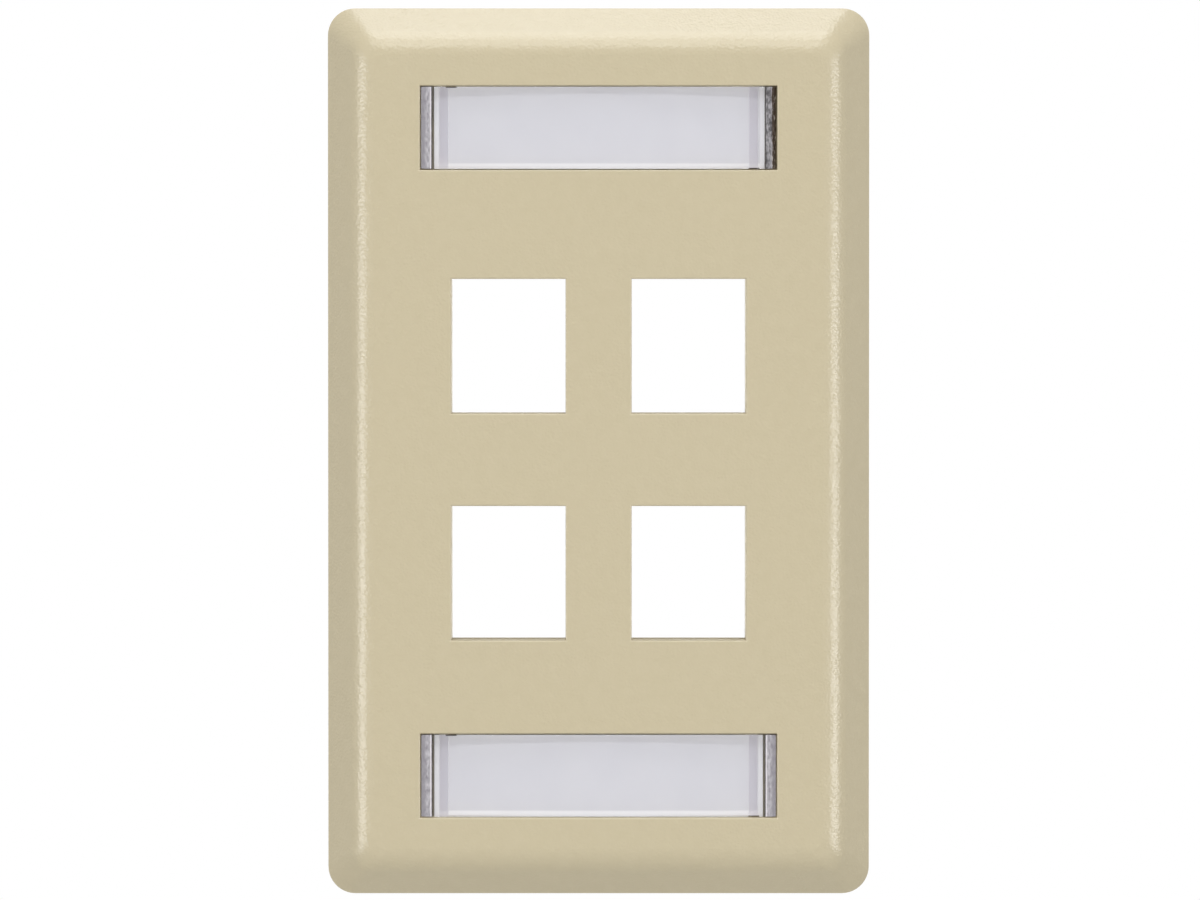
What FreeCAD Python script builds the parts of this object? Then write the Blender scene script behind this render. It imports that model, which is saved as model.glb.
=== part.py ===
import FreeCAD, Part
import math
import os

# Four-port keystone faceplate for one wall box, with two clear label windows.
# The plate stands upright with +Z up. Its front faces -Y and its rim lies on the wall plane Y = 0.
# The origin is the centre of the plate on the wall plane. Depths run from the front face to the wall.

# Plate
plate_width = 69.85
plate_height = 114.3
plate_depth = 6.4
plate_wall = 1.9
corner_radius = 3.5
face_corner_radius = 1.6
inner_rim_corner = 0.8
inner_face_corner = 0.6
rim_land = 1.4
slope_angle = 49.5
roll_radius = 3.95
roll_steps = 6
edge_round = 0.22

# Keystone bays, measured from the front face
port_width = 14.7
port_height = 17.3
port_pitch_x = 23.2
port_pitch_z = 29.2
port_group_drop = 1.0
bay_depth = 9.8
bay_wall = 1.3
latch_lip = 3.4
latch_pocket = 3.2
latch_catch = 1.8
latch_setback = 1.2
hook_lip = 6.2
hook_pocket = 1.6
hook_catch = 1.6
catch_lead = 0.7

# Screws and the label pockets over them
screw_spacing = 83.34
pocket_length = 45.9
pocket_height = 10.8
pocket_depth = 2.3
pocket_wall = 1.3
well_length = 2.35
barb_window_height = 1.1
barb_window_width = 6.8

# Screw seats
boss_diameter = 11.0
head_recess_diameter = 8.4
head_recess_depth = 0.9
sink_diameter = 7.0
sink_angle = 82.0
screw_hole_diameter = 4.2

# Ribs behind the face
rib_thickness = 1.2
rib_edge_thickness = 0.85
rib_setback = 1.3
pin_mark_diameter = 3.0
pin_mark_depth = 0.15
pin_mark_inset = 3.2

# Clear label windows
window_gap = 0.12
window_thickness = 1.3
window_edge_round = 0.18
leg_setback = 0.4
leg_thickness = 0.97
leg_gap = 0.15
barb_reach = 0.3
barb_height = 1.0
barb_width = 6.0
grip_rib_offset = 1.15
grip_rib_width = 1.0
grip_rib_height = 0.5
gate_scar_depth = 0.72
gate_scar_reach = 3.6
pry_notch_inset = 3.3
pry_notch_length = 1.4
pry_notch_width = 0.2
pry_notch_depth = 0.8

# Card labels behind the windows
label_floor_gap = 0.1
label_end_gap = 0.3
label_slide = 0.2
label_thickness = 0.2
label_margin = 0.15
label_front_gap = 0.03

# Oval head screws
screw_diameter = 3.5
screw_neck_diameter = 2.7
thread_start = 0.2
thread_lead = 0.4
screw_length = 19.05
screw_tip_chamfer = 0.5
head_diameter = 6.7
head_rise = 0.7
head_land = 0.15
driver_slot_width = 1.1
driver_slot_depth = 0.9
screw_seat_gap = 0.03

# Amount by which a cutting tool runs past the face that it opens
overrun = 1.0
# Distance within which a face counts as lying in the front plane
flat_tolerance = 0.001

front_y = -plate_depth
label_z = screw_spacing / 2


def vec(x, y, z):
    return FreeCAD.Vector(x, y, z)


def block(x0, x1, y0, y1, z0, z1):
    return Part.makeBox(x1 - x0, y1 - y0, z1 - z0, vec(x0, y0, z0))


def cylinder_y(radius, y0, y1, z):
    return Part.makeCylinder(radius, y1 - y0, vec(0, y0, z), vec(0, 1, 0))


def cone_y(radius0, radius1, y0, y1, z):
    return Part.makeCone(radius0, radius1, y1 - y0, vec(0, y0, z), vec(0, 1, 0))


def rounded_outline(width, height, radius, y):
    # Closed rectangle with round corners, in the plane of the face at depth y
    edges = []
    inner_x = width / 2 - radius
    inner_z = height / 2 - radius
    corners = [(1, 1, 0), (-1, 1, 90), (-1, -1, 180), (1, -1, 270)]
    arcs = []
    for side_x, side_z, start in corners:
        points = []
        for turn in (0, 45, 90):
            angle = math.radians(start + turn)
            x = side_x * inner_x + radius * math.cos(angle)
            z = side_z * inner_z + radius * math.sin(angle)
            points.append(vec(x, y, z))
        arcs.append(points)
    for index, points in enumerate(arcs):
        edges.append(Part.Arc(points[0], points[1], points[2]).toShape())
        following = arcs[(index + 1) % len(arcs)]
        edges.append(Part.LineSegment(points[2], following[0]).toShape())
    return Part.Wire(edges)


def rolled_form(inset):
    # Solid of the plate's outer form, brought inwards by inset on every side but the wall side:
    # an upright land at the rim, a straight slope, and a roll into the flat face
    angle = math.radians(slope_angle)
    radius = roll_radius - inset
    land = rim_land - inset * (1 - math.sin(angle)) / math.cos(angle)
    depth = plate_depth - inset
    roll_rise = radius * (1 - math.cos(angle))
    slope_rise = depth - land - roll_rise
    slope_run = slope_rise / math.tan(angle)
    total_run = slope_run + radius * math.sin(angle)
    rim_corner = max(corner_radius - inset, inner_rim_corner)
    face_corner = max(face_corner_radius - inset, inner_face_corner)

    def section(run, rise):
        blend = run / total_run
        corner = rim_corner + (face_corner - rim_corner) * blend
        reach = 2 * (inset + run)
        return rounded_outline(plate_width - reach, plate_height - reach, corner, -rise)

    stages = [Part.makeLoft([section(0, 0), section(0, land)], True, True)]
    stages.append(Part.makeLoft([section(0, land), section(slope_run, land + slope_rise)], True, True))
    roll = []
    for step in range(roll_steps + 1):
        turn = angle * (1 - step / roll_steps)
        run = slope_run + radius * (math.sin(angle) - math.sin(turn))
        rise = land + slope_rise + radius * (math.cos(turn) - math.cos(angle))
        roll.append(section(run, rise))
    stages.append(Part.makeLoft(roll, True, False))
    return stages[0].multiFuse(stages[1:]).removeSplitter()


def port_centres():
    centres = []
    for row in (1, -1):
        for side in (-1, 1):
            centres.append((side * port_pitch_x / 2, row * port_pitch_z / 2 - port_group_drop))
    return centres


def bay_block(x, z):
    # Outside of one keystone bay, from the face to past the wall plane
    half = port_width / 2 + bay_wall
    low = z - port_height / 2 - hook_pocket - bay_wall
    high = z + port_height / 2 + latch_pocket + bay_wall
    return block(x - half, x + half, front_y, front_y + bay_depth, low, high)


def bay_void(x, z):
    # Passage for the jack with the hook pocket below and the latch pocket above.
    # Each pocket ends in a catch at the rear, with a sloped lead for the jack.
    low = z - port_height / 2
    high = z + port_height / 2
    lead = bay_depth - catch_lead
    latch_rear = bay_depth - latch_catch
    hook_rear = bay_depth - hook_catch
    catch_z = high + latch_setback
    profile = [
        (-overrun, low),
        (hook_lip, low),
        (hook_lip, low - hook_pocket),
        (hook_rear, low - hook_pocket),
        (hook_rear, low),
        (lead, low),
        (bay_depth, low - catch_lead),
        (bay_depth + overrun, low - catch_lead),
        (bay_depth + overrun, catch_z + catch_lead),
        (bay_depth, catch_z + catch_lead),
        (lead, catch_z),
        (latch_rear, catch_z),
        (latch_rear, high + latch_pocket),
        (latch_lip, high + latch_pocket),
        (latch_lip, high),
        (-overrun, high),
    ]
    left = x - port_width / 2
    points = [vec(left, front_y + depth, height) for depth, height in profile]
    points.append(points[0])
    passage = Part.Face(Part.makePolygon(points)).extrude(vec(port_width, 0, 0))
    return passage.fuse(side_leads(x, low - catch_lead, catch_z + catch_lead))


def side_leads(x, low, high):
    # Sloped leads on a bay's side walls at the rear
    rear = front_y + bay_depth
    half = port_width / 2
    section = [
        vec(x - half, rear - catch_lead, low),
        vec(x - half - catch_lead, rear, low),
        vec(x - half - catch_lead, rear + overrun, low),
        vec(x + half + catch_lead, rear + overrun, low),
        vec(x + half + catch_lead, rear, low),
        vec(x + half, rear - catch_lead, low),
        vec(x - half, rear - catch_lead, low),
    ]
    return Part.Face(Part.makePolygon(section)).extrude(vec(0, 0, high - low))


def pocket_block(z):
    # Outside of the label pocket: a box behind the face whose ends reach the wall plane
    half_x = pocket_length / 2 + pocket_wall
    half_z = pocket_height / 2 + pocket_wall
    floor_back = front_y + pocket_depth + pocket_wall
    shape = block(-half_x, half_x, front_y, floor_back, z - half_z, z + half_z)
    end_length = well_length + 2 * pocket_wall
    for side in (-1, 1):
        ends = sorted((side * half_x, side * (half_x - end_length)))
        shape = shape.fuse(block(ends[0], ends[1], front_y, 0, z - half_z, z + half_z))
    return shape


def pocket_void(z):
    # Recess for the window and label, a well at each end for the window's leg,
    # and an opening through each end wall behind the leg's barb
    half_x = pocket_length / 2
    half_z = pocket_height / 2
    shape = block(-half_x, half_x, front_y - overrun, front_y + pocket_depth, z - half_z, z + half_z)
    well_floor = -pocket_wall
    barb_back = well_floor - leg_gap
    for side in (-1, 1):
        ends = sorted((side * half_x, side * (half_x - well_length)))
        shape = shape.fuse(block(ends[0], ends[1], front_y, well_floor, z - half_z, z + half_z))
        outer = sorted((side * (half_x - well_length / 2), side * (half_x + pocket_wall + overrun)))
        half_w = barb_window_width / 2
        shape = shape.fuse(
            block(outer[0], outer[1], barb_back - barb_window_height, barb_back, z - half_w, z + half_w))
    return shape


def screw_void(z):
    # Recess, countersink and clearance hole for one screw
    recess_floor = front_y + pocket_depth + head_recess_depth
    sink_run = (sink_diameter - screw_hole_diameter) / 2 / math.tan(math.radians(sink_angle / 2))
    shape = cylinder_y(head_recess_diameter / 2, front_y, recess_floor, z)
    sink_end = recess_floor + sink_run
    shape = shape.fuse(cone_y(sink_diameter / 2, screw_hole_diameter / 2, recess_floor, sink_end, z))
    return shape.fuse(cylinder_y(screw_hole_diameter / 2, recess_floor, overrun, z))


def rib(x0, x1, z0, z1):
    # Low rib on the back of the face. It thins towards its free edge, as draft for the mould.
    draft = (rib_thickness - rib_edge_thickness) / 2
    base = (x0, front_y, z0)
    edge_low = (z0 + draft, x0 + draft)
    top = (x1, -rib_setback, z1)
    edge_high = (z1 - draft, x1 - draft)
    return Part.makeWedge(*base, *edge_low, *top, *edge_high)


def ribs():
    # Grid of low ribs that ties the side walls, bays and label pockets together
    half = rib_thickness / 2
    side = plate_width / 2
    top = plate_height / 2
    parts = []
    for x in (-port_pitch_x / 2, port_pitch_x / 2):
        parts.append(rib(x - half, x + half, -label_z, label_z))
    rows = sorted({z for _, z in port_centres()})
    for z in rows + [-label_z, label_z]:
        parts.append(rib(-side, side, z - half, z + half))
    for low, high in ((-top, -label_z), (label_z, top)):
        parts.append(rib(-half, half, low, high))
    return parts[0].multiFuse(parts[1:]).common(rolled_form(plate_wall / 2))


def pin_marks():
    # Shallow round marks left on the back of the face by the mould's ejector pins
    back = front_y + plate_wall
    radius = pin_mark_diameter / 2
    column = port_pitch_x / 2 + port_width / 2 + bay_wall + pin_mark_inset
    upper_row = port_pitch_z / 2 - port_group_drop
    lower_row = -port_pitch_z / 2 - port_group_drop
    places = [(0, upper_row + pin_mark_inset), (0, lower_row - pin_mark_inset)]
    for side in (-1, 1):
        places += [(side * column, -port_group_drop), (side * column, label_z - pocket_height)]
        places += [(side * column, pocket_height - label_z)]
    marks = []
    for x, z in places:
        mark = Part.makeCylinder(radius, pin_mark_depth, vec(x, back - pin_mark_depth, z), vec(0, 1, 0))
        marks.append(mark)
    return marks


def faceplate():
    shell = rolled_form(0).cut(rolled_form(plate_wall))
    solids = [ribs()]
    for x, z in port_centres():
        solids.append(bay_block(x, z))
    for z in (-label_z, label_z):
        solids.append(pocket_block(z))
        solids.append(cylinder_y(boss_diameter / 2, front_y + pocket_depth, 0, z))
    body = shell.multiFuse(solids)
    voids = [bay_void(x, z) for x, z in port_centres()] + pin_marks()
    for z in (-label_z, label_z):
        voids.append(pocket_void(z))
        voids.append(screw_void(z))
    body = body.cut(voids).removeSplitter()
    return body.makeFillet(edge_round, opening_edges(body))


def opening_edges(body):
    # Front edges of the ports and label pockets, which are slightly rounded
    flat = [face for face in body.Faces if abs(face.BoundBox.YMax - front_y) < flat_tolerance]
    front = max(flat, key=lambda face: face.Area)
    openings = [wire for wire in front.Wires if not wire.isSame(front.OuterWire)]
    return [edge for wire in openings for edge in wire.Edges]


def scar_outline(end_x, half_z, y):
    # Ragged line left where the moulding gate was broken off the end of the window
    bites = [0.62, 1.0, 0.74, 0.95, 1.06, 0.8, 1.0, 0.66, 0.9]
    step = 2 * half_z / (len(bites) - 1)
    points = [vec(end_x + overrun, y, -half_z - overrun)]
    for index, bite in enumerate(bites):
        points.append(vec(end_x - bite * gate_scar_depth, y, -half_z + index * step))
    points[1].z -= overrun
    points[-1].z += overrun
    points.append(vec(end_x + overrun, y, half_z + overrun))
    points.append(points[0])
    return Part.Face(Part.makePolygon(points))


def pry_notches(half_x, half_z):
    # Two shallow notches in the window's long edges, at opposite corners, to lift it out by
    notches = []
    for side in (-1, 1):
        middle = side * (half_x - pry_notch_inset)
        ends = (middle - pry_notch_length / 2, middle + pry_notch_length / 2)
        edge = sorted((-side * (half_z - pry_notch_width), -side * (half_z + overrun)))
        notches.append(block(*ends, front_y - overrun, front_y + pry_notch_depth, *edge))
    return notches


def label_window(z, scarred):
    # Clear cover, flush with the face, with a barbed leg and a label grip rib at each end
    half_x = pocket_length / 2 - window_gap
    half_z = pocket_height / 2 - window_gap
    back = front_y + window_thickness
    plate = block(-half_x, half_x, front_y, back, -half_z, half_z)
    front_edges = [edge for edge in plate.Edges if edge.BoundBox.YMax < front_y + flat_tolerance]
    plate = plate.makeFillet(window_edge_round, front_edges)
    leg_outer = half_x - leg_setback
    leg_inner = leg_outer - leg_thickness
    leg_end = -pocket_wall - leg_gap
    parts = []
    for side in (-1, 1):
        ends = sorted((side * leg_inner, side * leg_outer))
        parts.append(block(ends[0], ends[1], back, leg_end, -half_z, half_z))
        barb = [
            vec(side * leg_outer, leg_end, 0),
            vec(side * leg_outer, leg_end - barb_height, 0),
            vec(side * (leg_outer + barb_reach), leg_end - barb_height, 0),
            vec(side * leg_outer, leg_end, 0),
        ]
        face = Part.Face(Part.makePolygon(barb))
        face.translate(vec(0, 0, -barb_width / 2))
        parts.append(face.extrude(vec(0, 0, barb_width)))
        rib_outer = leg_inner - grip_rib_offset
        ends = sorted((side * (rib_outer - grip_rib_width), side * rib_outer))
        parts.append(block(ends[0], ends[1], back, back + grip_rib_height, -half_z, half_z))
    shape = plate.multiFuse(parts).removeSplitter().cut(pry_notches(half_x, half_z))
    if scarred:
        tool = scar_outline(half_x, half_z, front_y - overrun).extrude(vec(0, gate_scar_reach + overrun, 0))
        shape = shape.cut(tool)
    shape.translate(vec(0, 0, z))
    return shape


def label_insert(z, slide):
    # Blank card between the window's legs, bowed so that its middle nears the window.
    # The upper one has slid towards its right leg.
    leg_inner = pocket_length / 2 - window_gap - leg_setback - leg_thickness
    half_x = leg_inner - label_end_gap
    half_z = pocket_height / 2 - window_gap - label_margin
    middle = front_y + window_thickness + label_front_gap
    end = front_y + pocket_depth - label_floor_gap - label_thickness
    arcs = []
    for y in (0, label_thickness):
        start = vec(-half_x, end + y, 0)
        arcs.append(Part.Arc(start, vec(0, middle + y, 0), vec(half_x, end + y, 0)).toShape())
    ends = []
    for x in (-half_x, half_x):
        ends.append(Part.LineSegment(vec(x, end, 0), vec(x, end + label_thickness, 0)).toShape())
    wire = Part.Wire([arcs[0], ends[1], arcs[1], ends[0]])
    face = Part.Face(wire)
    face.translate(vec(slide, 0, z - half_z))
    return face.extrude(vec(0, 0, 2 * half_z))


def mounting_screw(z):
    # Oval head machine screw seated in the countersink, its slot upright
    slope = math.tan(math.radians(sink_angle / 2))
    head = head_diameter / 2
    shank = screw_diameter / 2
    neck_radius = screw_neck_diameter / 2
    recess_floor = front_y + pocket_depth + head_recess_depth
    widest = recess_floor + (sink_diameter / 2 - head) / slope - screw_seat_gap
    neck = widest + (head - neck_radius) / slope
    tip = widest + screw_length
    rim = widest - head_land
    top = rim - head_rise
    sphere = (head ** 2 + head_rise ** 2) / (2 * head_rise)
    half_angle = math.asin(head / sphere) / 2
    mid = vec(sphere * math.sin(half_angle), top + sphere * (1 - math.cos(half_angle)), 0)
    edges = [Part.Arc(vec(0, top, 0), mid, vec(head, rim, 0)).toShape()]
    outline = [
        vec(head, rim, 0),
        vec(head, widest, 0),
        vec(neck_radius, neck, 0),
        vec(neck_radius, thread_start - thread_lead, 0),
        vec(shank, thread_start, 0),
        vec(shank, tip - screw_tip_chamfer, 0),
        vec(shank - screw_tip_chamfer, tip, 0),
        vec(0, tip, 0),
        vec(0, top, 0),
    ]
    for start, finish in zip(outline, outline[1:]):
        edges.append(Part.LineSegment(start, finish).toShape())
    shape = Part.Face(Part.Wire(edges)).revolve(vec(0, 0, 0), vec(0, 1, 0), 360)
    half_slot = driver_slot_width / 2
    long = head + overrun
    slot = block(-half_slot, half_slot, top - overrun, top + driver_slot_depth, -long, long)
    shape = shape.cut(slot)
    shape.translate(vec(0, 0, z))
    return shape


nodes = {
    "faceplate": faceplate(),
    "upper_label_window": label_window(label_z, True),
    "lower_label_window": label_window(-label_z, False),
    "upper_label_insert": label_insert(label_z, label_slide),
    "lower_label_insert": label_insert(-label_z, 0),
    "upper_mounting_screw": mounting_screw(label_z),
    "lower_mounting_screw": mounting_screw(-label_z),
}

os.makedirs("parts", exist_ok=True)
for name, shape in nodes.items():
    shape.exportStep("parts/" + name + ".step")
    print(name, shape.ShapeType, len(shape.Solids), shape.isValid(), round(shape.Volume, 2))
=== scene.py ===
import math

import bmesh
import bpy
from mathutils import Matrix, Vector


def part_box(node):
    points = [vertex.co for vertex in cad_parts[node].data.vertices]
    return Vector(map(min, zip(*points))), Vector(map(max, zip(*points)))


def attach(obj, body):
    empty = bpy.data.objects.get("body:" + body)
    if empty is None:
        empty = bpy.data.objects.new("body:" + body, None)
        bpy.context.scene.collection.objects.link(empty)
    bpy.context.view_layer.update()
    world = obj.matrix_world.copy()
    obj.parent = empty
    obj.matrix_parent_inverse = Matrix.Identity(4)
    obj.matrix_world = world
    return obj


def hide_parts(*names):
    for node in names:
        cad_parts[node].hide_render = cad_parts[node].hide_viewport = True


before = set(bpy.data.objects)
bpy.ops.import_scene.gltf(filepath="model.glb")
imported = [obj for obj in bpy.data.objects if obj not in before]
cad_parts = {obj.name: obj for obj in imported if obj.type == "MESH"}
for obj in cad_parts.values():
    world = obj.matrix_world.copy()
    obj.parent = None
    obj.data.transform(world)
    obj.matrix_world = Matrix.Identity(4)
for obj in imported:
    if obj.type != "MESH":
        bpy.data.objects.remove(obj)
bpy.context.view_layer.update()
bpy.ops.object.select_all(action="DESELECT")
mm = 0.001


# Faceplate
# One injection moulding in ivory plastic: the face with its rolled edge, the four keystone bays and the label
# pockets. Its front is stippled by the spark-eroded mould, and its inside is smooth. The two screws fix it.

ivory_colour = (0.575, 0.503, 0.343, 1)
ivory_dark = (0.562, 0.490, 0.330, 1)
ivory_index = 1.54
stipple_size = 0.3 * mm
stipple_depth = 0.034 * mm
front_roughness = 0.3
inside_roughness = 0.65
mottle_size = 1.6 * mm
tone_range = (0.3, 0.7)
pebble_density = 0.8
pebble_smoothness = 0.6
pit_detail = 2
cloud_detail = 3
front_turn = (-0.05, -0.4)


def new_material(name):
    # An empty node material with its output and one Principled shader
    material = bpy.data.materials.new(name)
    material.use_nodes = True
    tree = material.node_tree
    tree.nodes.clear()
    output = tree.nodes.new("ShaderNodeOutputMaterial")
    shader = tree.nodes.new("ShaderNodeBsdfPrincipled")
    tree.links.new(shader.outputs["BSDF"], output.inputs["Surface"])
    return material, tree, shader


def place_pattern(tree, group, drawn=(1, 1, 1), **values):
    # Puts a pattern group in a material, fed by Object coordinates that may be drawn out along an axis
    node = tree.nodes.new("ShaderNodeGroup")
    node.node_tree = group
    coordinates = tree.nodes.new("ShaderNodeTexCoord")
    mapping = tree.nodes.new("ShaderNodeMapping")
    mapping.inputs["Scale"].default_value = drawn
    tree.links.new(coordinates.outputs["Object"], mapping.inputs["Vector"])
    tree.links.new(mapping.outputs["Vector"], node.inputs["Vector"])
    for socket, value in values.items():
        node.inputs[socket].default_value = value
    return node, coordinates


def feed(tree, value, socket):
    # Links a node's output to a socket, or writes a plain value there
    if isinstance(value, bpy.types.NodeSocket):
        tree.links.new(value, socket)
    else:
        socket.default_value = value


def blend_colours(tree, factor, first, second):
    # One colour that turns into another as the factor goes from 0 to 1
    mix = tree.nodes.new("ShaderNodeMix")
    mix.data_type = "RGBA"
    feed(tree, factor, mix.inputs["Factor"])
    feed(tree, first, mix.inputs["A"])
    feed(tree, second, mix.inputs["B"])
    return mix.outputs["Result"]


def raise_surface(tree, height, depth, shader):
    # Feeds the shader's normal with a bump of that depth
    bump = tree.nodes.new("ShaderNodeBump")
    bump.inputs["Strength"].default_value = 1
    bump.inputs["Distance"].default_value = depth
    tree.links.new(height, bump.inputs["Height"])
    tree.links.new(bump.outputs["Normal"], shader.inputs["Normal"])


def make_pattern_group(name, inputs, outputs):
    # An empty shader node group with its named inputs and outputs
    group = bpy.data.node_groups.new(name, "ShaderNodeTree")
    for socket, kind, value in inputs:
        made = group.interface.new_socket(socket, in_out="INPUT", socket_type=kind)
        if value is not None:
            made.default_value = value
    for socket in outputs:
        group.interface.new_socket(socket, in_out="OUTPUT", socket_type="NodeSocketFloat")
    return group, group.nodes.new("NodeGroupInput"), group.nodes.new("NodeGroupOutput")


def scaled_vector(group, vector, size):
    # The vector counted in grains of that size, so that one grain is one unit
    divide = group.nodes.new("ShaderNodeVectorMath")
    divide.operation = "DIVIDE"
    combine = group.nodes.new("ShaderNodeCombineXYZ")
    for axis in "XYZ":
        group.links.new(size, combine.inputs[axis])
    group.links.new(vector, divide.inputs[0])
    group.links.new(combine.outputs["Vector"], divide.inputs[1])
    return divide.outputs["Vector"]


def make_stipple():
    # Fine pebbled grain, as a spark-eroded mould leaves it, with a slow mottle of tone and shine
    group, given, result = make_pattern_group(
        "spark stipple",
        [("Vector", "NodeSocketVector", None), ("Grain", "NodeSocketFloat", stipple_size),
         ("Mottle", "NodeSocketFloat", mottle_size)],
        ["Height", "Tone"])
    grain = scaled_vector(group, given.outputs["Vector"], given.outputs["Grain"])
    pebbles = group.nodes.new("ShaderNodeTexVoronoi")
    pebbles.feature = "SMOOTH_F1"
    pebbles.inputs["Scale"].default_value = pebble_density
    pebbles.inputs["Smoothness"].default_value = pebble_smoothness
    pits = group.nodes.new("ShaderNodeTexNoise")
    pits.inputs["Scale"].default_value = 1
    pits.inputs["Detail"].default_value = pit_detail
    mix = group.nodes.new("ShaderNodeMath")
    mix.operation = "SUBTRACT"
    mottle = scaled_vector(group, given.outputs["Vector"], given.outputs["Mottle"])
    cloud = group.nodes.new("ShaderNodeTexNoise")
    cloud.inputs["Scale"].default_value = 1
    cloud.inputs["Detail"].default_value = cloud_detail
    group.links.new(grain, pebbles.inputs["Vector"])
    group.links.new(grain, pits.inputs["Vector"])
    group.links.new(pits.outputs["Fac"], mix.inputs[0])
    group.links.new(pebbles.outputs["Distance"], mix.inputs[1])
    group.links.new(mix.outputs["Value"], result.inputs["Height"])
    group.links.new(mottle, cloud.inputs["Vector"])
    group.links.new(cloud.outputs["Fac"], result.inputs["Tone"])
    return group


def stretch_value(tree, value, given, wanted=(0, 1)):
    # A value stretched from one range to another, and held at its ends
    stretch = tree.nodes.new("ShaderNodeMapRange")
    stretch.inputs["From Min"].default_value, stretch.inputs["From Max"].default_value = given
    stretch.inputs["To Min"].default_value, stretch.inputs["To Max"].default_value = wanted
    tree.links.new(value, stretch.inputs["Value"])
    return stretch.outputs["Result"]


def combine_values(tree, operation, first, second):
    # One value worked out from two by a Math node
    node = tree.nodes.new("ShaderNodeMath")
    node.operation = operation
    feed(tree, first, node.inputs[0])
    feed(tree, second, node.inputs[1])
    return node.outputs["Value"]


def make_ivory():
    # Ivory plastic, stippled on what faces the room and smooth inside
    material, tree, shader = new_material("ivory plastic")
    pattern, coordinates = place_pattern(tree, stipple, Grain=stipple_size, Mottle=mottle_size)
    tone = stretch_value(tree, pattern.outputs["Tone"], tone_range)
    feed(tree, blend_colours(tree, tone, ivory_dark, ivory_colour), shader.inputs["Base Color"])
    shader.inputs["IOR"].default_value = ivory_index
    split = tree.nodes.new("ShaderNodeSeparateXYZ")
    tree.links.new(coordinates.outputs["Normal"], split.inputs["Vector"])
    front = stretch_value(tree, split.outputs["Y"], front_turn)
    shine = stretch_value(tree, front, (0, 1), (inside_roughness, front_roughness))
    feed(tree, shine, shader.inputs["Roughness"])
    height = combine_values(tree, "MULTIPLY", pattern.outputs["Height"], front)
    raise_surface(tree, height, stipple_depth, shader)
    return material


stipple = make_stipple()
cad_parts["faceplate"].material_slots[0].material = make_ivory()


# Mounting screws
# Two oval-head 6-32 machine screws in steel, with a sawn slot, a rolled thread and an ivory enamelled head.
# They pass through the bosses behind the labels into the wall box.

screw_pitch = 0.794 * mm
thread_depth = 0.44 * mm
thread_crest = 0.1 * mm
thread_radius = 1.75 * mm
neck_radius = 1.35 * mm
neck_end = -0.2 * mm
head_rise = 0.7 * mm
head_land = 0.15 * mm
slot_width = 1.1 * mm
slot_depth = 0.9 * mm
tip_chamfer = 0.5 * mm
crown_steps = 8
head_steps = 64
thread_steps = 40
blank_steps = 48
enamel_grain = 0.6 * mm
enamel_mottle = 1.5 * mm
enamel_roughness = 0.25
enamel_depth = 0.01 * mm
enamel_colour = (0.57, 0.49, 0.33, 1)
enamel_thin = (0.50, 0.42, 0.27, 1)
zinc_bright = (0.62, 0.63, 0.64, 1)
zinc_dull = (0.42, 0.43, 0.45, 1)
zinc_grain = 0.15 * mm
zinc_mottle = 1.2 * mm
zinc_roughness = (0.28, 0.45)


def make_enamel():
    # Baked enamel on the screw's head, with a little orange peel
    material, tree, shader = new_material("ivory enamel")
    pattern, _ = place_pattern(tree, stipple, Grain=enamel_grain, Mottle=enamel_mottle)
    tone = stretch_value(tree, pattern.outputs["Tone"], tone_range)
    feed(tree, blend_colours(tree, tone, enamel_thin, enamel_colour), shader.inputs["Base Color"])
    shader.inputs["Roughness"].default_value = enamel_roughness
    raise_surface(tree, pattern.outputs["Height"], enamel_depth, shader)
    return material


def make_zinc():
    # Zinc plating on the thread, slightly clouded
    material, tree, shader = new_material("zinc plating")
    pattern, _ = place_pattern(tree, stipple, Grain=zinc_grain, Mottle=zinc_mottle)
    tone = stretch_value(tree, pattern.outputs["Tone"], tone_range)
    feed(tree, blend_colours(tree, tone, zinc_dull, zinc_bright), shader.inputs["Base Color"])
    feed(tree, stretch_value(tree, tone, (0, 1), zinc_roughness), shader.inputs["Roughness"])
    shader.inputs["Metallic"].default_value = 1
    return material


def finish_mesh(piece, angle):
    # Merges doubles, turns the faces outwards and shades smooth up to that angle
    bpy.ops.object.select_all(action="DESELECT")
    piece.select_set(True)
    bpy.context.view_layer.objects.active = piece
    bpy.ops.object.mode_set(mode="EDIT")
    bpy.ops.mesh.select_all(action="SELECT")
    bpy.ops.mesh.remove_doubles(threshold=0.001 * mm)
    bpy.ops.mesh.normals_make_consistent(inside=False)
    bpy.ops.object.mode_set(mode="OBJECT")
    bpy.ops.object.shade_smooth_by_angle(angle=math.radians(angle))


def apply_modifier(piece, kind, **settings):
    # Adds one modifier, sets it and applies it
    bpy.ops.object.select_all(action="DESELECT")
    piece.select_set(True)
    bpy.context.view_layer.objects.active = piece
    modifier = piece.modifiers.new(kind.lower(), kind)
    for name, value in settings.items():
        setattr(modifier, name, value)
    bpy.ops.object.modifier_apply(modifier=modifier.name)


def turned_piece(name, outline, steps):
    # Spins an outline of (radius, depth) points about the Y axis and closes it
    bpy.ops.mesh.primitive_plane_add(size=1, location=(0, 0, 0))
    piece = bpy.context.object
    piece.name = name
    bpy.ops.object.mode_set(mode="EDIT")
    edit = bmesh.from_edit_mesh(piece.data)
    bmesh.ops.delete(edit, geom=list(edit.verts), context="VERTS")
    points = [edit.verts.new((radius, depth, 0)) for radius, depth in outline]
    for start, end in zip(points, points[1:]):
        edit.edges.new((start, end))
    bmesh.update_edit_mesh(piece.data)
    bpy.ops.mesh.select_all(action="SELECT")
    bpy.ops.mesh.spin(steps=steps, angle=math.tau, center=(0, 0, 0), axis=(0, 1, 0))
    bpy.ops.object.mode_set(mode="OBJECT")
    finish_mesh(piece, 35)
    return piece


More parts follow.
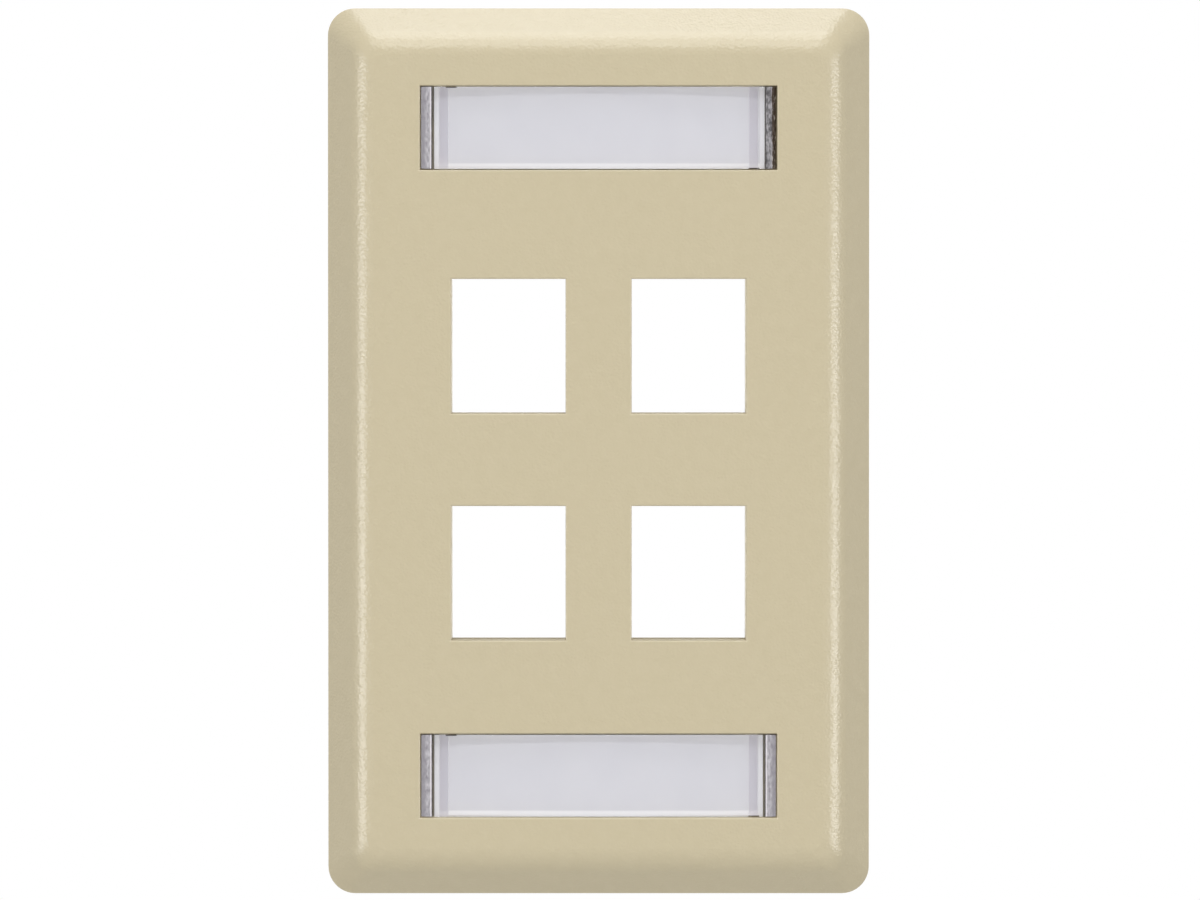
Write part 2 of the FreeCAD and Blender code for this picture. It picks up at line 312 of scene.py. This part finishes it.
def copy_piece(piece, name):
    # A second piece with its own mesh
    twin = piece.copy()
    twin.data = piece.data.copy()
    twin.name = name
    bpy.context.scene.collection.objects.link(twin)
    return twin


def make_screw(name, low, high):
    # The screw about the Y axis: head and neck turned, thread wound and cut to length, then joined
    head_radius = (high.x - low.x) / 2
    top = low.y
    rim = top + head_rise
    widest = rim + head_land
    neck_top = widest + head_radius - neck_radius
    tip = high.y
    outline = [(0, top)]
    sphere = (head_radius ** 2 + head_rise ** 2) / (2 * head_rise)
    for step in range(1, crown_steps + 1):
        turn = math.asin(head_radius / sphere) * step / crown_steps
        outline.append((sphere * math.sin(turn), top + sphere * (1 - math.cos(turn))))
    outline += [(head_radius, widest), (neck_radius, neck_top), (neck_radius, neck_end), (0, neck_end)]
    screw = turned_piece(name, outline, head_steps)
    screw.data.materials.append(enamel)
    screw.data.materials.append(zinc)
    for face in screw.data.polygons:
        face.material_index = int(face.center.y > widest + 0.1 * mm)

    root = thread_radius - thread_depth
    flank = (screw_pitch - thread_crest) / 2
    profile = [(root, 0), (thread_radius, flank), (thread_radius, flank + thread_crest), (root, screw_pitch)]
    bpy.ops.mesh.primitive_plane_add(size=1, location=(0, 0, 0))
    thread = bpy.context.object
    bpy.ops.object.mode_set(mode="EDIT")
    edit = bmesh.from_edit_mesh(thread.data)
    bmesh.ops.delete(edit, geom=list(edit.verts), context="VERTS")
    spare = 0.63 * screw_pitch
    start = neck_end - tip_chamfer - 2 * screw_pitch
    points = [edit.verts.new((radius, start + depth, 0)) for radius, depth in profile]
    for first, second in zip(points, points[1:]):
        edit.edges.new((first, second))
    bmesh.update_edit_mesh(thread.data)
    bpy.ops.object.mode_set(mode="OBJECT")
    turns = int((tip - start) / screw_pitch) + 3
    apply_modifier(thread, "SCREW", axis="Y", angle=math.tau, screw_offset=screw_pitch, iterations=turns,
                   steps=thread_steps, render_steps=thread_steps, use_merge_vertices=True,
                   merge_threshold=0.002 * mm, use_smooth_shade=False)
    bpy.ops.object.mode_set(mode="EDIT")
    bpy.ops.mesh.select_all(action="SELECT")
    bpy.ops.mesh.remove_doubles(threshold=0.002 * mm)
    bpy.ops.mesh.select_all(action="SELECT")
    bpy.ops.mesh.bisect(plane_co=(0, neck_end - tip_chamfer - spare, 0), plane_no=(0, 1, 0), use_fill=True,
                        clear_inner=True)
    bpy.ops.mesh.select_all(action="SELECT")
    bpy.ops.mesh.bisect(plane_co=(0, tip + spare, 0), plane_no=(0, 1, 0), use_fill=True, clear_outer=True)
    bpy.ops.object.mode_set(mode="OBJECT")
    finish_mesh(thread, 25)
    thread.data.materials.append(zinc)

    blank = turned_piece("thread_blank", [
        (0, neck_end - tip_chamfer), (thread_radius - tip_chamfer, neck_end - tip_chamfer),
        (thread_radius + 0.05 * mm, neck_end + tip_chamfer), (thread_radius + 0.05 * mm, tip - tip_chamfer),
        (thread_radius - tip_chamfer, tip), (0, tip)], blank_steps)
    apply_modifier(thread, "BOOLEAN", object=blank, operation="INTERSECT", solver="EXACT")
    bpy.data.objects.remove(blank)
    apply_modifier(screw, "BOOLEAN", object=thread, operation="UNION", solver="EXACT")
    bpy.data.objects.remove(thread)

    bpy.ops.mesh.primitive_cube_add(size=1, location=(0, top, 0))
    saw = bpy.context.object
    saw.scale = (slot_width, 2 * slot_depth, 3 * head_radius)
    bpy.ops.object.transform_apply(location=True, rotation=False, scale=True)
    saw.data.materials.append(enamel)
    apply_modifier(screw, "BOOLEAN", object=saw, operation="DIFFERENCE", solver="EXACT")
    bpy.data.objects.remove(saw)
    return screw


enamel = make_enamel()
zinc = make_zinc()
screw = make_screw("upper_screw", *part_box("upper_mounting_screw"))
finish_mesh(screw, 30)
screws = {"upper": screw, "lower": copy_piece(screw, "lower_screw")}
for place, screw in screws.items():
    node = place + "_mounting_screw"
    low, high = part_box(node)
    screw.data.transform(Matrix.Translation((0, 0, (low.z + high.z) / 2)))
    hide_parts(node)
    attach(screw, "plate")


# Label cards
# Two blank slips of smooth white card, cut to length and sprung between the legs of their window, so that
# each bows until its middle nears the cover. The upper one has slipped to the right.

card_thickness = 0.2 * mm
card_colour = (0.745, 0.73, 0.775, 1)
card_shade = (0.715, 0.70, 0.75, 1)
# Painted light: the paler colour of the card's foot and ends
card_painted_light = (0.93, 0.915, 0.955, 1)
painted_light_height = 0.075
painted_light_end = 0.017
painted_light_fade = 0.7
card_spare = 0.1 * mm
card_columns = 48
card_rows = 14
card_grain = 0.12 * mm
card_mottle = 5 * mm
card_roughness = 0.6
card_depth = 0.004 * mm


def make_card():
    # Smooth coated card with faint fibres, with painted light along its foot and ends standing in for the
    # light that the cover's edge throws there
    material, tree, shader = new_material("white card")
    pattern, coordinates = place_pattern(tree, stipple, Grain=card_grain, Mottle=card_mottle)
    tone = stretch_value(tree, pattern.outputs["Tone"], tone_range)
    paper = blend_colours(tree, tone, card_shade, card_colour)
    split = tree.nodes.new("ShaderNodeSeparateXYZ")
    tree.links.new(coordinates.outputs["UV"], split.inputs["Vector"])
    # Painted light: masks of the card's foot and ends, where the colour turns paler
    foot = stretch_value(tree, split.outputs["Y"], (painted_light_height, painted_light_height * painted_light_fade))
    left = stretch_value(tree, split.outputs["X"], (painted_light_end, painted_light_end * painted_light_fade))
    right = stretch_value(tree, split.outputs["X"], (1 - painted_light_end, 1 - painted_light_end * painted_light_fade))
    lit = combine_values(tree, "MAXIMUM", foot, combine_values(tree, "MAXIMUM", left, right))
    feed(tree, blend_colours(tree, lit, paper, card_painted_light), shader.inputs["Base Color"])
    shader.inputs["Roughness"].default_value = card_roughness
    raise_surface(tree, pattern.outputs["Height"], card_depth, shader)
    return material


def make_label(name, low, high):
    # A grid in the card's outline, bowed along its length and given its thickness
    middle = (low + high) / 2
    bpy.ops.mesh.primitive_grid_add(x_subdivisions=card_columns, y_subdivisions=card_rows, size=1,
                                    location=(0, 0, 0), rotation=(math.pi / 2, 0, 0))
    label = bpy.context.object
    label.name = name
    label.scale = (high.x - low.x, high.z - low.z + 2 * card_spare, 1)
    bpy.ops.object.transform_apply(location=False, rotation=True, scale=True)
    reach = (high.x - low.x) / 2
    bow = high.y - low.y - card_thickness
    for point in label.data.vertices:
        along = point.co.x / reach
        point.co += Vector((middle.x, low.y + bow * along ** 2, middle.z))
    apply_modifier(label, "SOLIDIFY", thickness=card_thickness, offset=-1)
    finish_mesh(label, 40)
    label.data.materials.append(card)
    return label


card = make_card()
for place in ("upper", "lower"):
    node = place + "_label_insert"
    low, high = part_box(node)
    low.x = -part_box("lower_label_insert")[1].x
    label = make_label(place + "_label", low, high)
    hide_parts(node)
    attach(label, place + "_window")


# Label windows
# Two covers moulded in clear plastic, each with a barbed leg at both ends and two ribs that hold the card.
# The ends are textured. The upper one's right end is rough where its moulding gate was broken off.

clear_tint = (0.97, 0.975, 0.98, 1)
# The ribs' grey tint is partly the haze of their rough faces and partly painted shade, standing in for the
# shade on the card under each rib
haze_and_shade_tint = (0.78, 0.745, 0.80, 1)
clear_shadow = (0.93, 0.935, 0.94, 1)
clear_index = 1.49
clear_roughness = 0.02
haze_roughness = 0.3
clear_grain = 1.2 * mm
clear_mottle = 6 * mm
clear_depth = 0.001 * mm
frost_light = (0.56, 0.54, 0.57, 1)
frost_dark = (0.24, 0.225, 0.25, 1)
frost_shadow = (0.8, 0.79, 0.8, 1)
frost_grain = 0.25 * mm
streak_stretch = 0.4
dim_range = (22.1 * mm, 22.45 * mm)
dim_share = 0.75
# Painted highlight: a pale strip on each window's front beside the frosted end, standing in for an edge
# highlight
edge_painted_highlight = (0.80, 0.77, 0.80, 1)
edge_highlight_dull = (0.62, 0.59, 0.62, 1)
# Painted shade: near-black colour on the faces of the pry notches, standing in for the shade inside them
notch_painted_shade_dark = (0.025, 0.018, 0.016, 1)
notch_painted_shade_light = (0.07, 0.055, 0.05, 1)
crazed_dark = (0.05, 0.045, 0.047, 1)
crazed_light = (0.365, 0.35, 0.365, 1)
# Painted shade and painted glints: the torn face is dark brown, standing in for the shaded well behind it,
# with pale specks standing in for glints of the broken facets
broken_painted_shade = (0.06, 0.038, 0.033, 1)
broken_painted_glint = (0.72, 0.69, 0.70, 1)
cover_thickness = 1.3 * mm
leg_inset = 0.4 * mm
leg_thickness = 0.97 * mm
barb_height = 1.0 * mm
barb_reach = 0.3 * mm
barb_half_width = 3.0 * mm
rib_offset = 0.96 * mm
rib_width = 1.15 * mm
rib_height = 0.5 * mm
edge_bevel = 0.1 * mm
edge_gap = 0.04 * mm
ground_end = 1.15 * mm
notch_insets = (3.85 * mm, 2.85 * mm)
notch_length = 1.4 * mm
notch_width = 0.13 * mm
notch_depth = 0.8 * mm
crazed_end = 1.4 * mm
scar_depth = 0.55 * mm
scar_slope = 0.62 * mm
scar_reach = 1.5 * mm
scar_end = 3.6 * mm
scar_roughness = 0.11 * mm
scar_cuts = 30


def let_lamps_through(tree, shader, tint):
    # Lamps and scattered light pass straight through the plastic, so that the card behind it is lit
    path = tree.nodes.new("ShaderNodeLightPath")
    either = combine_values(tree, "MAXIMUM", path.outputs["Is Shadow Ray"], path.outputs["Is Diffuse Ray"])
    open_way = tree.nodes.new("ShaderNodeBsdfTransparent")
    open_way.inputs["Color"].default_value = tint
    mix = tree.nodes.new("ShaderNodeMixShader")
    tree.links.new(either, mix.inputs["Fac"])
    tree.links.new(shader.outputs["BSDF"], mix.inputs[1])
    tree.links.new(open_way.outputs["BSDF"], mix.inputs[2])
    output = next(node for node in tree.nodes if node.type == "OUTPUT_MATERIAL")
    tree.links.new(mix.outputs["Shader"], output.inputs["Surface"])


def make_clear(name, tint, roughness):
    # Clear plastic, polished or hazy
    material, tree, shader = new_material(name)
    pattern, _ = place_pattern(tree, stipple, Grain=clear_grain, Mottle=clear_mottle)
    shader.inputs["Base Color"].default_value = tint
    shader.inputs["Transmission Weight"].default_value = 1
    shader.inputs["IOR"].default_value = clear_index
    shader.inputs["Roughness"].default_value = roughness
    raise_surface(tree, pattern.outputs["Height"], clear_depth, shader)
    let_lamps_through(tree, shader, clear_shadow)
    return material


def make_scattering(name, dark, light, spread, mottle, roughness, depth, dim=0.0):
    # Textured or broken plastic, streaked along its height, which scatters light and looks grey. The same
    # grey texture also carries the painted highlight, the painted shade and the painted glints on the windows
    material, tree, shader = new_material(name)
    pattern, coordinates = place_pattern(tree, stipple, drawn=(1, 1, streak_stretch), Grain=frost_grain,
                                         Mottle=mottle)
    tone = stretch_value(tree, pattern.outputs["Tone"], spread)
    split = tree.nodes.new("ShaderNodeSeparateXYZ")
    tree.links.new(coordinates.outputs["Object"], split.inputs["Vector"])
    across = combine_values(tree, "ABSOLUTE", split.outputs["X"], 0)
    outwards = stretch_value(tree, across, dim_range, (1, 1 - dim))
    tone = combine_values(tree, "MULTIPLY", tone, outwards)
    feed(tree, blend_colours(tree, tone, dark, light), shader.inputs["Base Color"])
    shader.inputs["Roughness"].default_value = roughness
    raise_surface(tree, pattern.outputs["Height"], depth, shader)
    let_lamps_through(tree, shader, frost_shadow)
    return material


def pick_faces(piece, test):
    # In edit mode, selects only the faces whose centre and normal pass the test
    edit = bmesh.from_edit_mesh(piece.data)
    for face in edit.faces:
        face.select_set(False)
    for face in edit.faces:
        if test(face.calc_center_median(), face.normal):
            face.select_set(True)
    bmesh.update_edit_mesh(piece.data)


def cut_across(positions, axis):
    # Divides the whole mesh by planes across that axis
    for position in positions:
        bpy.ops.mesh.select_all(action="SELECT")
        point = [0, 0, 0]
        point[axis] = position
        normal = [0, 0, 0]
        normal[axis] = 1
        bpy.ops.mesh.bisect(plane_co=point, plane_no=normal)


def make_window(name, low, high):
    # Cover, legs, barbs and ribs drawn out of one block, centred on z = 0
    half_x = (high.x - low.x) / 2
    half_z = (high.z - low.z) / 2
    front = low.y
    back = front + cover_thickness
    leg_outer = half_x - leg_inset
    leg_inner = leg_outer - leg_thickness
    rib_outer = leg_inner - rib_offset
    rib_inner = rib_outer - rib_width
    bpy.ops.mesh.primitive_cube_add(size=1, location=(0, (front + back) / 2, 0))
    window = bpy.context.object
    window.name = name
    window.scale = (2 * half_x, cover_thickness, 2 * half_z)
    bpy.ops.object.transform_apply(location=True, rotation=False, scale=True)
    bpy.ops.object.mode_set(mode="EDIT")
    bpy.ops.mesh.select_mode(type="FACE")
    cuts = [leg_outer, leg_inner, rib_outer, rib_inner]
    cut_across([side * cut for side in (-1, 1) for cut in cuts], 0)

    pick_faces(window, lambda c, n: n.y > 0.9 and leg_inner < abs(c.x) < leg_outer)
    bpy.ops.mesh.extrude_region_move(TRANSFORM_OT_translate={"value": (0, high.y - back, 0)})
    pick_faces(window, lambda c, n: n.y > 0.9 and rib_inner < abs(c.x) < rib_outer and c.y < back + 0.01 * mm)
    bpy.ops.mesh.extrude_region_move(TRANSFORM_OT_translate={"value": (0, rib_height, 0)})

    cut_across([-barb_half_width, barb_half_width], 2)
    cut_across([high.y - barb_height], 1)
    for side in (-1, 1):
        pick_faces(window, lambda c, n: n.x * side > 0.9 and c.x * side > leg_inner
                   and abs(c.z) < barb_half_width and c.y > high.y - barb_height)
        bpy.ops.mesh.extrude_region_move(TRANSFORM_OT_translate={"value": (side * barb_reach, 0, 0)})
        edit = bmesh.from_edit_mesh(window.data)
        for point in edit.verts:
            if point.select and point.co.y > high.y - 0.01 * mm:
                point.co.x -= side * barb_reach
        bmesh.update_edit_mesh(window.data)
    bpy.ops.mesh.select_all(action="SELECT")
    bpy.ops.mesh.remove_doubles(threshold=0.002 * mm)
    bpy.ops.mesh.dissolve_limited(angle_limit=math.radians(1))
    ends = [half_x - ground_end, leg_inner + edge_gap]
    cut_across([side * end for side in (-1, 1) for end in ends], 0)
    bpy.ops.mesh.select_mode(type="EDGE")
    bpy.ops.mesh.select_all(action="DESELECT")
    bpy.ops.mesh.edges_select_sharp(sharpness=math.radians(40))
    edit = bmesh.from_edit_mesh(window.data)
    for line in edit.edges:
        middle = (line.verts[0].co + line.verts[1].co) / 2
        if rib_inner - 0.01 * mm < abs(middle.x) < rib_outer + 0.01 * mm and middle.y > back - 0.01 * mm:
            line.select_set(False)
    bmesh.update_edit_mesh(window.data)
    bpy.ops.mesh.bevel(offset=edge_bevel, offset_type="OFFSET", segments=2)
    bpy.ops.mesh.select_mode(type="FACE")
    bpy.ops.object.mode_set(mode="OBJECT")
    for material in (clear, frost, haze_and_shade, edge):
        window.data.materials.append(material)
    clear_face, frosted_face, hazy_shaded_face, painted_highlight_face = range(len(window.data.materials))
    for face in window.data.polygons:
        across = abs(face.center.x)
        front_face = face.normal.y < -0.9
        outer_side = across > leg_inner + 0.01 * mm and face.center.y > back
        ground_front = front_face and across > half_x - ground_end
        # Painted highlight: the strip of front face just inside the frosted end
        painted_highlight_front = front_face and leg_inner + edge_gap < across < half_x - ground_end
        # The ribs' back faces take the hazy plastic, whose grey tint is partly painted shade
        rib_face = rib_inner - 0.01 * mm < across < rib_outer + 0.01 * mm and face.center.y > back + 0.01 * mm
        if outer_side or ground_front:
            face.material_index = frosted_face
        elif rib_face:
            face.material_index = hazy_shaded_face
        elif painted_highlight_front:
            face.material_index = painted_highlight_face
        else:
            face.material_index = clear_face
    # The notch faces take the near-black painted shade
    for side, inset in zip((-1, 1), notch_insets):
        place = (side * (half_x - inset), front, -side * half_z)
        notch = make_block(place, (notch_length, 2 * notch_depth, 2 * notch_width))
        notch.data.materials.append(shade)
        cut_away(window, notch)
    return window


def make_block(place, size):
    # A block about a place, its size applied
    bpy.ops.mesh.primitive_cube_add(size=1, location=place)
    block = bpy.context.object
    block.scale = size
    bpy.ops.object.transform_apply(location=True, rotation=False, scale=True)
    return block


def cut_away(piece, tool):
    # Cuts a tool out of a piece, which takes over the tool's material there
    apply_modifier(piece, "BOOLEAN", object=tool, operation="DIFFERENCE", solver="EXACT",
                   material_mode="TRANSFER")
    bpy.data.objects.remove(tool)


def break_gate(window, low, high):
    # Tears away the outer face of the right end with a block whose inner face is rough and slopes outwards
    half_x = (high.x - low.x) / 2
    half_z = (high.z - low.z) / 2
    torn = half_x - scar_depth
    depth = scar_end + 2 * scar_depth
    middle = low.y + scar_end - depth / 2
    tool = make_block((torn + scar_depth, middle, 0), (2 * scar_depth, depth, 3 * half_z))
    # The torn face gets the dark painted shade with pale painted glints
    tool.data.materials.append(broken)
    bpy.ops.object.mode_set(mode="EDIT")
    pick_faces(tool, lambda centre, normal: normal.x < -0.9)
    bpy.ops.mesh.subdivide(number_cuts=scar_cuts)
    bpy.ops.transform.vertex_random(offset=scar_roughness, uniform=0, normal=0, seed=3)
    edit = bmesh.from_edit_mesh(tool.data)
    for point in edit.verts:
        if point.select:
            point.co.x += scar_slope * min(1, max(0, point.co.y - low.y) / scar_reach)
    bmesh.update_edit_mesh(tool.data)
    bpy.ops.object.mode_set(mode="OBJECT")
    cut_away(window, tool)
    bpy.ops.object.mode_set(mode="EDIT")
    cut_across([half_x - crazed_end], 0)
    bpy.ops.object.mode_set(mode="OBJECT")
    window.data.materials.append(crazed)
    for face in window.data.polygons:
        if half_x - crazed_end < face.center.x and face.normal.y < -0.9 and face.center.y < low.y + 0.1 * mm:
            face.material_index = len(window.data.materials) - 1


clear = make_clear("clear plastic", clear_tint, clear_roughness)
# Hazy plastic for the ribs, its grey tint partly painted shade
haze_and_shade = make_clear("hazy plastic with painted shade", haze_and_shade_tint, haze_roughness)
frost = make_scattering("frosted plastic", frost_dark, frost_light, tone_range, 0.32 * mm, 0.45, 0.03 * mm,
                        dim=dim_share)
# The pale strip beside each frosted end is a painted highlight
edge = make_scattering("painted edge highlight", edge_highlight_dull, edge_painted_highlight, tone_range, 0.4 * mm, 0.3, 0.01 * mm)
# Painted shade for the pry notches
shade = make_scattering("painted notch shade", notch_painted_shade_dark, notch_painted_shade_light, tone_range, 0.3 * mm, 0.4, 0.01 * mm)
crazed = make_scattering("crazed plastic", crazed_dark, crazed_light, (0.35, 0.65), 0.24 * mm, 0.4, 0.05 * mm)
# Broken plastic coloured with painted shade and painted glints
broken = make_scattering("broken plastic", broken_painted_shade, broken_painted_glint, (0.55, 0.67), 0.3 * mm, 0.3, 0.05 * mm)
low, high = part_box("lower_label_window")
window = make_window("lower_window_cover", low, high)
windows = {"upper": copy_piece(window, "upper_window_cover"), "lower": window}
break_gate(windows["upper"], low, high)
for place, window in windows.items():
    node = place + "_label_window"
    finish_mesh(window, 35)
    apply_modifier(window, "WEIGHTED_NORMAL", mode="FACE_AREA", weight=100, keep_sharp=True)
    low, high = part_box(node)
    window.data.transform(Matrix.Translation((0, 0, (low.z + high.z) / 2)))
    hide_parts(node)
    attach(window, place + "_window")


# Floor, lamps, background and camera
# A pale floor well below the plate, which is held, and soft studio light: a wide overhead box, a front fill,
# two side lamps set low and a fill behind the plate. The background is white. The camera stands slightly
# above the plate's middle.

floor_drop = 0.2
floor_radius = 6
floor_roughness = 0.9
floor_grain_size = 2 * mm
floor_mottle = 80 * mm
camera_distance = 1.1
camera_height = 0.0224
camera_aim = (0.00018, 0.00013)
frame_width = 0.15516
sensor_width = 36
floor_colour = (0.59, 0.59, 0.58, 1)
floor_grain = (0.55, 0.55, 0.54, 1)
world_light = 0.272
fade_start = 0.2
fade_end = 1.5
shadow_share = 0.2
overhead_place = (0, -0.12, 0.89)
overhead_size = (0.36, 0.8)
overhead_power = 4.3
front_place = (0, -1.11, 1.0)
front_size = (0.8, 0.14)
front_power = 4.5
back_place = (0, 1.2, -0.02)
back_size = (1.0, 0.3)
back_power = 5
side_turn = math.radians(49)
side_height = -0.07
side_aim = (0, 0, -0.03)
side_size = (0.42, 0.24)
side_power = 3.3


def add_lamp(name, place, aim, size, power):
    # A rectangular soft box at a place, turned towards a point
    lamp = bpy.data.lights.new(name, "AREA")
    lamp.shape = "RECTANGLE"
    lamp.size, lamp.size_y = size
    lamp.energy = power
    holder = bpy.data.objects.new(name, lamp)
    holder.location = place
    holder.rotation_euler = (Vector(aim) - Vector(place)).to_track_quat("-Z", "Y").to_euler()
    holder.visible_camera = False
    bpy.context.scene.collection.objects.link(holder)


def seen_directly(tree):
    # 1 for rays from the camera and for what gloss and clear plastic show, otherwise 0
    path = tree.nodes.new("ShaderNodeLightPath")
    value = path.outputs["Is Camera Ray"]
    for kind in ("Is Glossy Ray", "Is Transmission Ray"):
        value = combine_values(tree, "MAXIMUM", value, path.outputs[kind])
    return value


bpy.ops.mesh.primitive_circle_add(vertices=96, radius=floor_radius, fill_type="NGON",
                                  location=(0, 0, -floor_drop))
floor = bpy.context.object
floor.name = "floor"
material, tree, shader = new_material("pale floor")
pattern, coordinates = place_pattern(tree, stipple, Grain=floor_grain_size, Mottle=floor_mottle)
tone = stretch_value(tree, pattern.outputs["Tone"], tone_range)
feed(tree, blend_colours(tree, tone, floor_grain, floor_colour), shader.inputs["Base Color"])
shader.inputs["Roughness"].default_value = floor_roughness
white = tree.nodes.new("ShaderNodeEmission")
away = tree.nodes.new("ShaderNodeVectorMath")
away.operation = "LENGTH"
tree.links.new(coordinates.outputs["Object"], away.inputs[0])
whiteness = stretch_value(tree, away.outputs["Value"], (fade_start, fade_end), (1 - shadow_share, 1))
mix = tree.nodes.new("ShaderNodeMixShader")
feed(tree, combine_values(tree, "MULTIPLY", seen_directly(tree), whiteness), mix.inputs["Fac"])
tree.links.new(shader.outputs["BSDF"], mix.inputs[1])
tree.links.new(white.outputs["Emission"], mix.inputs[2])
output = next(node for node in tree.nodes if node.type == "OUTPUT_MATERIAL")
tree.links.new(mix.outputs["Shader"], output.inputs["Surface"])
floor.data.materials.append(material)

world = bpy.data.worlds.new("studio")
bpy.context.scene.world = world
world.use_nodes = True
tree = world.node_tree
background = next(node for node in tree.nodes if node.type == "BACKGROUND")
background.inputs["Color"].default_value = (1, 1, 1, 1)
strength = tree.nodes.new("ShaderNodeMapRange")
strength.inputs["To Min"].default_value = world_light
strength.inputs["To Max"].default_value = 1
tree.links.new(seen_directly(tree), strength.inputs["Value"])
tree.links.new(strength.outputs["Result"], background.inputs["Strength"])

add_lamp("overhead box", overhead_place, (0, 0, 0), overhead_size, overhead_power)
add_lamp("front fill", front_place, (0, 0, 0), front_size, front_power)
add_lamp("back fill", back_place, (0, 0, 0), back_size, back_power)
for side in (-1, 1):
    place = (side * math.sin(side_turn), -math.cos(side_turn), side_height)
    add_lamp("side lamp", place, side_aim, side_size, side_power)

camera = bpy.data.cameras.new("camera")
camera.sensor_width = sensor_width
camera.lens = sensor_width * camera_distance / frame_width
camera.clip_start = 0.01
camera_holder = bpy.data.objects.new("camera", camera)
camera_holder.location = (0, -camera_distance, camera_height)
aim = Vector((camera_aim[0], 0, camera_aim[1])) - camera_holder.location
camera_holder.rotation_euler = aim.to_track_quat("-Z", "Y").to_euler()
bpy.context.scene.collection.objects.link(camera_holder)
bpy.context.scene.camera = camera_holder
bpy.context.scene.view_settings.view_transform = "Standard"
